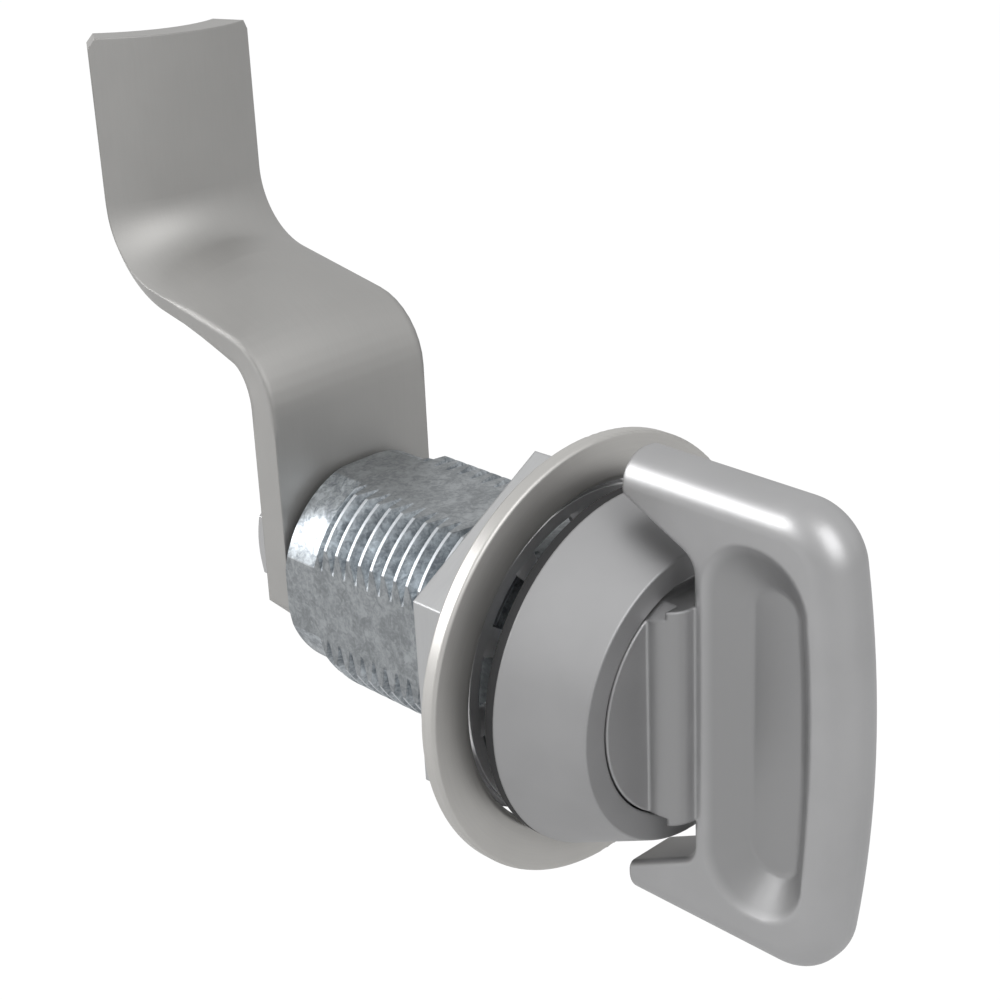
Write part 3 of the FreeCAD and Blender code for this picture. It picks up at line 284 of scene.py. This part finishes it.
class Graph:
    """A node tree that starts empty."""

    def __init__(self, owner):
        owner.use_nodes = True
        self.tree = owner.node_tree
        self.tree.nodes.clear()

    def add(self, kind, settings=None, values=None):
        """Add a node: its settings first, then the values or links of its sockets."""
        node = self.tree.nodes.new(kind)
        for name, setting in (settings or {}).items():
            if name == "stops":
                self.set_stops(node.color_ramp, setting)
            else:
                setattr(node, name, setting)
        for name, value in (values or {}).items():
            self.feed(node.inputs[name], value)
        return node

    def set_stops(self, ramp, stops):
        """Give a ramp its (position, colour) stops."""
        while len(ramp.elements) < len(stops):
            ramp.elements.new(1.0)
        for element, (position, colour) in zip(ramp.elements, stops):
            element.position = position
            element.color = tuple(colour) + (1.0,)

    def feed(self, socket, value):
        """Link or set one socket."""
        if isinstance(value, Value):
            self.tree.links.new(value.socket, socket)
        elif isinstance(value, bpy.types.NodeSocket):
            self.tree.links.new(value, socket)
        elif socket.type == "RGBA":
            socket.default_value = tuple(value)[:3] + (1.0,)
        else:
            socket.default_value = value


class Finish(Graph):
    """One node material, with the latch's own coordinates in millimetres."""

    def __init__(self, name):
        self.material = bpy.data.materials.new(name)
        super().__init__(self.material)
        self.shader = self.add("ShaderNodeBsdfPrincipled")
        self.add("ShaderNodeOutputMaterial", None, {"Surface": self.shader.outputs[0]})
        place = self.add("ShaderNodeTexCoord").outputs["Object"]
        self.place = self.add("ShaderNodeVectorMath", {"operation": "SCALE"},
                              {0: place, "Scale": 1 / MILLIMETRE}).outputs[0]

    def set(self, **values):
        """Feed sockets of the surface shader, named with underscores for spaces."""
        for name, value in values.items():
            self.feed(self.shader.inputs[name.replace("_", " ")], value)

    def fed(self, name):
        """What feeds a socket of the surface shader so far."""
        return self.shader.inputs[name].links[0].from_socket

    def axes(self):
        """Place across, along and up in millimetres."""
        parts = self.add("ShaderNodeSeparateXYZ", None, {0: self.place})
        return [Value(self, socket) for socket in parts.outputs]

    def radius(self):
        """Distance from the latch axis in millimetres."""
        across, _, up = self.axes()
        return (across * across + up * up) ** 0.5

    def stretched(self, across, along, up):
        """The place, scaled apart along each axis."""
        return self.add("ShaderNodeVectorMath", {"operation": "MULTIPLY"},
                        {0: self.place, 1: (across, along, up)}).outputs[0]

    def wound(self, around):
        """The place as the turn around the latch axis, scaled, the length and the radius."""
        across, along, up = self.axes()
        turn = across.worked("ARCTAN2", across, up)
        return self.add("ShaderNodeCombineXYZ", None,
                        {0: turn * around, 1: along, 2: self.radius()}).outputs[0]

    def noise(self, width, point=None, detail=2.0, rough=0.5, warp=0.0):
        """Soft noise whose patches are about width metres across."""
        node = self.add("ShaderNodeTexNoise", None,
                        {"Vector": self.place if point is None else point,
                         "Scale": MILLIMETRE / width, "Detail": detail, "Roughness": rough,
                         "Distortion": warp})
        return Value(self, node.outputs[0])

    def blend(self, factor, first, second):
        """Colour between two colours."""
        node = self.add("ShaderNodeMix", {"data_type": "RGBA"},
                        {0: factor, 6: first, 7: second})
        return node.outputs[2]

    def between(self, factor, first, second):
        """Vector between two vectors."""
        node = self.add("ShaderNodeMix", {"data_type": "VECTOR"},
                        {0: factor, 4: first, 5: second})
        return node.outputs[1]

    def bump(self, height, depth, normal=None):
        """Surface normal for a height field whose full depth is in millimetres."""
        values = {"Height": height, "Distance": depth * MILLIMETRE, "Strength": 1.0}
        if normal is not None:
            values["Normal"] = normal
        return self.add("ShaderNodeBump", None, values).outputs[0]

    def eased(self, radius):
        """Surface normal with sharp edges rounded over a radius in metres."""
        return self.add("ShaderNodeBevel", {"samples": 6}, {"Radius": radius}).outputs[0]


def colours():
    return bpy.context.scene.latch_colours


def grain():
    return bpy.context.scene.latch_grain


def lighter(colour, factor):
    """Colour times a factor, kept in range."""
    return tuple(min(part * factor, 1.0) for part in colour)


def coat(finish, *nodes):
    """Give a finish to some nodes of the frame."""
    for name in nodes:
        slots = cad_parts[name].data.materials
        slots.clear()
        slots.append(finish.material)


def cast_finish(name, colour, rough, eased):
    """Plated die casting: soft cloudy tone and a fine uneven skin."""
    finish = Finish(name)
    cloud = finish.noise(grain().cast_cloud, detail=3.0)
    skin = finish.noise(grain().cast, detail=3.0, rough=0.6)
    tone = finish.blend(cloud.rising(*SOFT_CONTRAST), lighter(colour, 0.97),
                        lighter(colour, 1.03))
    finish.set(Base_Color=tone, Metallic=0.9,
               Roughness=rough + (cloud - 0.5) * 0.05 + (skin - 0.5) * 0.03,
               Normal=finish.bump(skin, depth=0.0007, normal=finish.eased(eased)))
    return finish


class LATCH_OT_finish_grip(bpy.types.Operator):
    """Give the grip its plated casting finish, with painted shade in the scoops and on the web"""

    bl_idname = "latch.finish_grip"
    bl_label = "Grip finish"

    def execute(self, context):
        colour = colours().grip
        finish = cast_finish("grip_casting", colour, rough=0.4, eased=grain().edge * 2)
        # Painted shade: the scoops and the web are darkened, standing in for the shade in these
        # recesses.
        across, along, up = finish.axes()
        scoop_shade = (abs(across).falling(*SCOOP_SHADE_MOUTH) * along.rising(*SCOOP_SHADE_FRONT)
                  * along.falling(*SCOOP_SHADE_REAR) * abs(up).falling(*SCOOP_SHADE_END))
        web_shade = along.rising(*WEB_SHADE_FRONT) * along.falling(*WEB_SHADE_REAR) * abs(up).falling(*WEB_SHADE_END)
        # The grip's colour darkened, as painted shade.
        painted_shade_tone = lighter(colour, 0.78)
        finish.set(Base_Color=finish.blend(scoop_shade + web_shade, finish.fed("Base Color"), painted_shade_tone))
        coat(finish, "handle")
        return {"FINISHED"}


class LATCH_OT_finish_head(bpy.types.Operator):
    """Give the round head its satin casting finish"""

    bl_idname = "latch.finish_head"
    bl_label = "Head finish"

    def execute(self, context):
        finish = cast_finish("head_casting", colours().head, rough=0.48, eased=grain().edge)
        coat(finish, "head_bezel")
        return {"FINISHED"}


class LATCH_OT_finish_housing(bpy.types.Operator):
    """Give the threaded housing its mottled zinc coat and a painted highlight on the thread's
    crests
    """

    bl_idname = "latch.finish_housing"
    bl_label = "Housing finish"

    def execute(self, context):
        finish = Finish("zinc_coat")
        palette = colours()
        width = grain().mottle
        drift = finish.noise(width * 3.0, detail=3.0, warp=0.8)
        patch = finish.noise(width, detail=3.0, rough=0.6, warp=1.2)
        fine = finish.noise(width * 0.3, detail=3.0, rough=0.6)
        mottle = (drift * 0.35 + patch * 0.45 + fine * 0.2).rising(*MOTTLE_CONTRAST)
        across, _, up = finish.axes()
        thread = abs(across).at_least(abs(up)).falling(*HOUSING_FLAT)
        # Mask of the painted highlight along the thread's crests.
        crest_highlight = finish.radius().rising(*THREAD_CREST_HIGHLIGHT)
        flat = finish.blend(mottle, palette.zinc_dark, palette.zinc_light)
        flank = finish.blend(mottle, palette.flank_dark, palette.flank_light)
        tone = finish.blend(thread, flat, flank)
        # Painted highlight: the crests are blended toward a light tone, standing in for light on
        # them.
        tone = finish.blend(crest_highlight * 0.8, tone, palette.crest_highlight)
        height = patch * 0.65 + fine * 0.35
        finish.set(Base_Color=tone, Metallic=0.78,
                   Roughness=0.44 - mottle * 0.07 - thread * 0.04 + crest_highlight * 0.08,
                   Normal=finish.bump(height, depth=0.02,
                                      normal=finish.eased(grain().edge * 0.22)))
        coat(finish, "threaded_body")
        return {"FINISHED"}


class LATCH_OT_finish_rubber(bpy.types.Operator):
    """Give the gasket and the hub's ring their rubber"""

    bl_idname = "latch.finish_rubber"
    bl_label = "Rubber"

    def execute(self, context):
        finish = Finish("black_rubber")
        dust = finish.noise(grain().dust, detail=3.0, rough=0.6)
        patch = finish.noise(grain().dust_patch)
        tone = finish.blend(dust * patch, colours().rubber, RUBBER_DUST)
        finish.set(Base_Color=tone, Roughness=0.62 + (patch - 0.5) * 0.15,
                   Normal=finish.bump(dust, depth=0.01))
        coat(finish, "gasket", "hub_o_ring")
        return {"FINISHED"}


def plated_finish(name, colour, rough, lines, depth, eased, tone_range=0.03):
    """Plated pressed steel with fine lines along the given coordinates."""
    finish = Finish(name)
    drawn = finish.noise(grain().brush, lines(finish), detail=3.0, rough=0.6)
    cloud = finish.noise(grain().plate_cloud)
    speck = finish.noise(grain().plate_speck)
    shade = drawn * 0.5 + cloud * 0.5
    tone = finish.blend(shade.rising(*SOFT_CONTRAST), lighter(colour, 1 - tone_range),
                        lighter(colour, 1 + tone_range))
    finish.set(Base_Color=tone, Metallic=0.9,
               Roughness=rough + (drawn - 0.5) * 0.04 + (cloud - 0.5) * 0.05,
               Normal=finish.bump(drawn * 0.6 + speck * 0.4, depth, finish.eased(eased)))
    return finish


def round_lines(finish):
    """Lines that run around the latch axis."""
    return finish.wound(RING_LINES_AROUND)


def long_lines(finish):
    """Lines that run up the pawl."""
    return finish.stretched(*PAWL_LINES)


def cross_lines(finish):
    """Faint lines across the nut's flats."""
    return finish.stretched(*NUT_LINES)


class LATCH_OT_finish_ring(bpy.types.Operator):
    """Give the flange ring its satin nickel"""

    bl_idname = "latch.finish_ring"
    bl_label = "Ring finish"

    def execute(self, context):
        finish = plated_finish("nickel_plate", colours().ring, rough=0.42, lines=round_lines,
                               depth=0.0006, eased=grain().edge)
        coat(finish, "flange_ring")
        return {"FINISHED"}


class LATCH_OT_finish_nut(bpy.types.Operator):
    """Give the mounting nut its light plate"""

    bl_idname = "latch.finish_nut"
    bl_label = "Nut finish"

    def execute(self, context):
        finish = plated_finish("light_plate", colours().nut, rough=0.45, lines=cross_lines,
                               depth=0.0004, eased=grain().edge * 1.3)
        coat(finish, "mounting_nut")
        return {"FINISHED"}


class LATCH_OT_finish_pawl(bpy.types.Operator):
    """Give the pawl its satin plate, a little rough where the sheet was stretched"""

    bl_idname = "latch.finish_pawl"
    bl_label = "Pawl finish"

    def execute(self, context):
        finish = plated_finish("pawl_plate", colours().arm, rough=0.5, lines=long_lines,
                               depth=0.0004, eased=grain().edge * 1.2, tone_range=0.02)
        up = finish.axes()[2]
        stretched = up.rising(*PAWL_STRETCH_LOW) * up.falling(*PAWL_STRETCH_HIGH)
        bent = up.rising(*PAWL_BEND_LOW) * up.falling(*PAWL_BEND_HIGH)
        grainy = finish.noise(grain().stretch, detail=3.0, rough=0.65)
        smooth = finish.between(bent, finish.fed("Normal"), finish.eased(grain().bend))
        finish.set(Metallic=0.75, Normal=finish.bump(grainy * stretched, 0.006, smooth))
        coat(finish, "pawl")
        return {"FINISHED"}


class LATCH_OT_finish_steel(bpy.types.Operator):
    """Give the screw, washers, shaft, pins and sleeves their plated steel"""

    bl_idname = "latch.finish_steel"
    bl_label = "Steel finish"

    def execute(self, context):
        steel = colours().steel
        worn = grain().edge
        bright = plated_finish("bright_zinc", steel, rough=0.3, lines=round_lines,
                               depth=0.0015, eased=worn * 0.7)
        coat(bright, "pawl_screw", "flat_washer", "split_washer")
        teeth = plated_finish("washer_zinc", lighter(steel, 1.7), rough=0.42,
                              lines=round_lines, depth=0.0008, eased=worn * 0.5)
        coat(teeth, "toothed_washer")
        turned = plated_finish("turned_steel", lighter(steel, 0.85), rough=0.26,
                               lines=round_lines, depth=0.002, eased=worn * 0.5)
        coat(turned, "shaft", "drive_pin", "handle_pin", "cam_sleeve", "swing_sleeve")
        dark = plated_finish("dark_spring_steel", lighter(steel, 0.5), rough=0.35,
                             lines=round_lines, depth=0.001, eased=worn * 0.5)
        coat(dark, "return_spring", "rear_retaining_ring", "sleeve_retaining_ring",
             "spring_seat")
        return {"FINISHED"}


class LATCH_OT_finish_bushes(bpy.types.Operator):
    """Give the two plain bearings their bronze"""

    bl_idname = "latch.finish_bushes"
    bl_label = "Bearing finish"

    def execute(self, context):
        finish = plated_finish("bearing_bronze", colours().bronze, rough=0.4,
                               lines=round_lines, depth=0.002, eased=grain().edge * 0.5)
        coat(finish, "front_bush", "rear_bush")
        return {"FINISHED"}


def build_floor(level, reach, white, share):
    """Flat floor that shows as white to the camera and keeps a share of its shadow."""
    mesh = bpy.data.meshes.new("floor")
    mesh.from_pydata([(-reach, -reach, level), (reach, -reach, level),
                      (reach, reach, level), (-reach, reach, level)], [], [(0, 1, 2, 3)])
    material = bpy.data.materials.new("pale_floor")
    mesh.materials.append(material)
    graph = Graph(material)
    plain = graph.add("ShaderNodeBsdfDiffuse", None, {"Color": FLOOR_GREY})
    seen = graph.add("ShaderNodeEmission", None, {"Color": WHITE, "Strength": white})
    path = graph.add("ShaderNodeLightPath")
    mix = graph.add("ShaderNodeMixShader", None,
                    {0: Value(graph, path.outputs["Is Camera Ray"]) * share,
                     1: plain.outputs[0], 2: seen.outputs[0]})
    graph.add("ShaderNodeOutputMaterial", None, {"Surface": mix.outputs[0]})
    floor = bpy.data.objects.new("floor", mesh)
    bpy.context.scene.collection.objects.link(floor)
    floor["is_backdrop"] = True


def build_lamp(name, place, target, size, power):
    """Soft flat lamp turned to a point."""
    data = bpy.data.lights.new(name, "AREA")
    data.shape = "RECTANGLE"
    data.size, data.size_y = size
    data.energy = power
    holder = bpy.data.objects.new(name, data)
    bpy.context.scene.collection.objects.link(holder)
    holder.location = place
    holder.rotation_euler = (target - place).to_track_quat("-Z", "Y").to_euler()


def build_world():
    """White surroundings for the camera, graded grey ones for light and reflections."""
    world = bpy.data.worlds.new("soft_room")
    bpy.context.scene.world = world
    graph = Graph(world)
    direction = graph.add("ShaderNodeTexCoord").outputs["Generated"]
    parts = graph.add("ShaderNodeSeparateXYZ", None, {0: direction})
    height = Value(graph, parts.outputs["Z"]) * 0.5 + 0.5
    ramp = graph.add("ShaderNodeValToRGB",
                     {"stops": [(position, (level,) * 3) for position, level in ROOM_LEVELS]},
                     {0: height})
    room = graph.add("ShaderNodeBackground", None, {"Color": ramp.outputs[0]})
    seen = graph.add("ShaderNodeBackground", None, {"Color": WHITE})
    path = graph.add("ShaderNodeLightPath")
    mix = graph.add("ShaderNodeMixShader", None,
                    {0: path.outputs["Is Camera Ray"], 1: room.outputs[0],
                     2: seen.outputs[0]})
    graph.add("ShaderNodeOutputWorld", None, {"Surface": mix.outputs[0]})


def build_camera(place, turn, lens):
    """Camera in the photograph's place, looking with its turn and tilt."""
    data = bpy.data.cameras.new("camera")
    data.sensor_width = 36.0
    data.lens = lens
    data.clip_start = 0.005
    data.clip_end = 20.0
    holder = bpy.data.objects.new("camera", data)
    bpy.context.scene.collection.objects.link(holder)
    holder.matrix_world = Matrix.LocRotScale(place, turn, None)
    bpy.context.scene.camera = holder


class LATCH_OT_set_stage(bpy.types.Operator):
    """Add the floor, the lamps, the surroundings and the camera"""

    bl_idname = "latch.set_stage"
    bl_label = "Stage"

    def execute(self, context):
        stage = context.scene.latch_stage
        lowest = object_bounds()[0][2]
        build_floor(lowest - stage.floor_drop, stage.floor_reach, stage.floor_white,
                    stage.floor_share)
        build_lamp("key_lamp", stage.key_place, stage.lamp_aim, stage.key_size, stage.key)
        build_lamp("back_lamp", stage.back_place, stage.lamp_aim, stage.back_size, stage.back)
        build_world()
        build_camera(stage.camera_place, stage.camera_turn, stage.lens)
        context.scene.view_settings.view_transform = "Standard"
        return {"FINISHED"}


class LATCH_PT_panel(bpy.types.Panel):
    """Steps and sizes of the latch's looks"""

    bl_idname = "LATCH_PT_panel"
    bl_label = "Compression latch"
    bl_space_type = "VIEW_3D"
    bl_region_type = "UI"
    bl_category = "Latch"

    def draw(self, context):
        scene = context.scene
        for group in (scene.latch_colours, scene.latch_grain, scene.latch_stage):
            box = self.layout.box()
            for name in group.__annotations__:
                box.prop(group, name)
        for operator in OPERATORS:
            self.layout.operator(operator.bl_idname)


GROUPS = {
    "latch_colours": LatchColours,
    "latch_grain": LatchGrain,
    "latch_stage": LatchStage,
}

OPERATORS = (
    LATCH_OT_finish_grip,
    LATCH_OT_finish_head,
    LATCH_OT_finish_housing,
    LATCH_OT_finish_rubber,
    LATCH_OT_finish_ring,
    LATCH_OT_finish_nut,
    LATCH_OT_finish_pawl,
    LATCH_OT_finish_steel,
    LATCH_OT_finish_bushes,
    LATCH_OT_set_stage,
)


def register():
    for name, group in GROUPS.items():
        bpy.utils.register_class(group)
        setattr(bpy.types.Scene, name, bpy.props.PointerProperty(type=group))
    for operator in OPERATORS:
        bpy.utils.register_class(operator)
    bpy.utils.register_class(LATCH_PT_panel)


def unregister():
    bpy.utils.unregister_class(LATCH_PT_panel)
    for operator in reversed(OPERATORS):
        bpy.utils.unregister_class(operator)
    for name, group in GROUPS.items():
        delattr(bpy.types.Scene, name)
        bpy.utils.unregister_class(group)


def main():
    register()
    for operator in OPERATORS:
        group, name = operator.bl_idname.split(".")
        getattr(getattr(bpy.ops, group), name)()


if __name__ == "__main__":
    main()
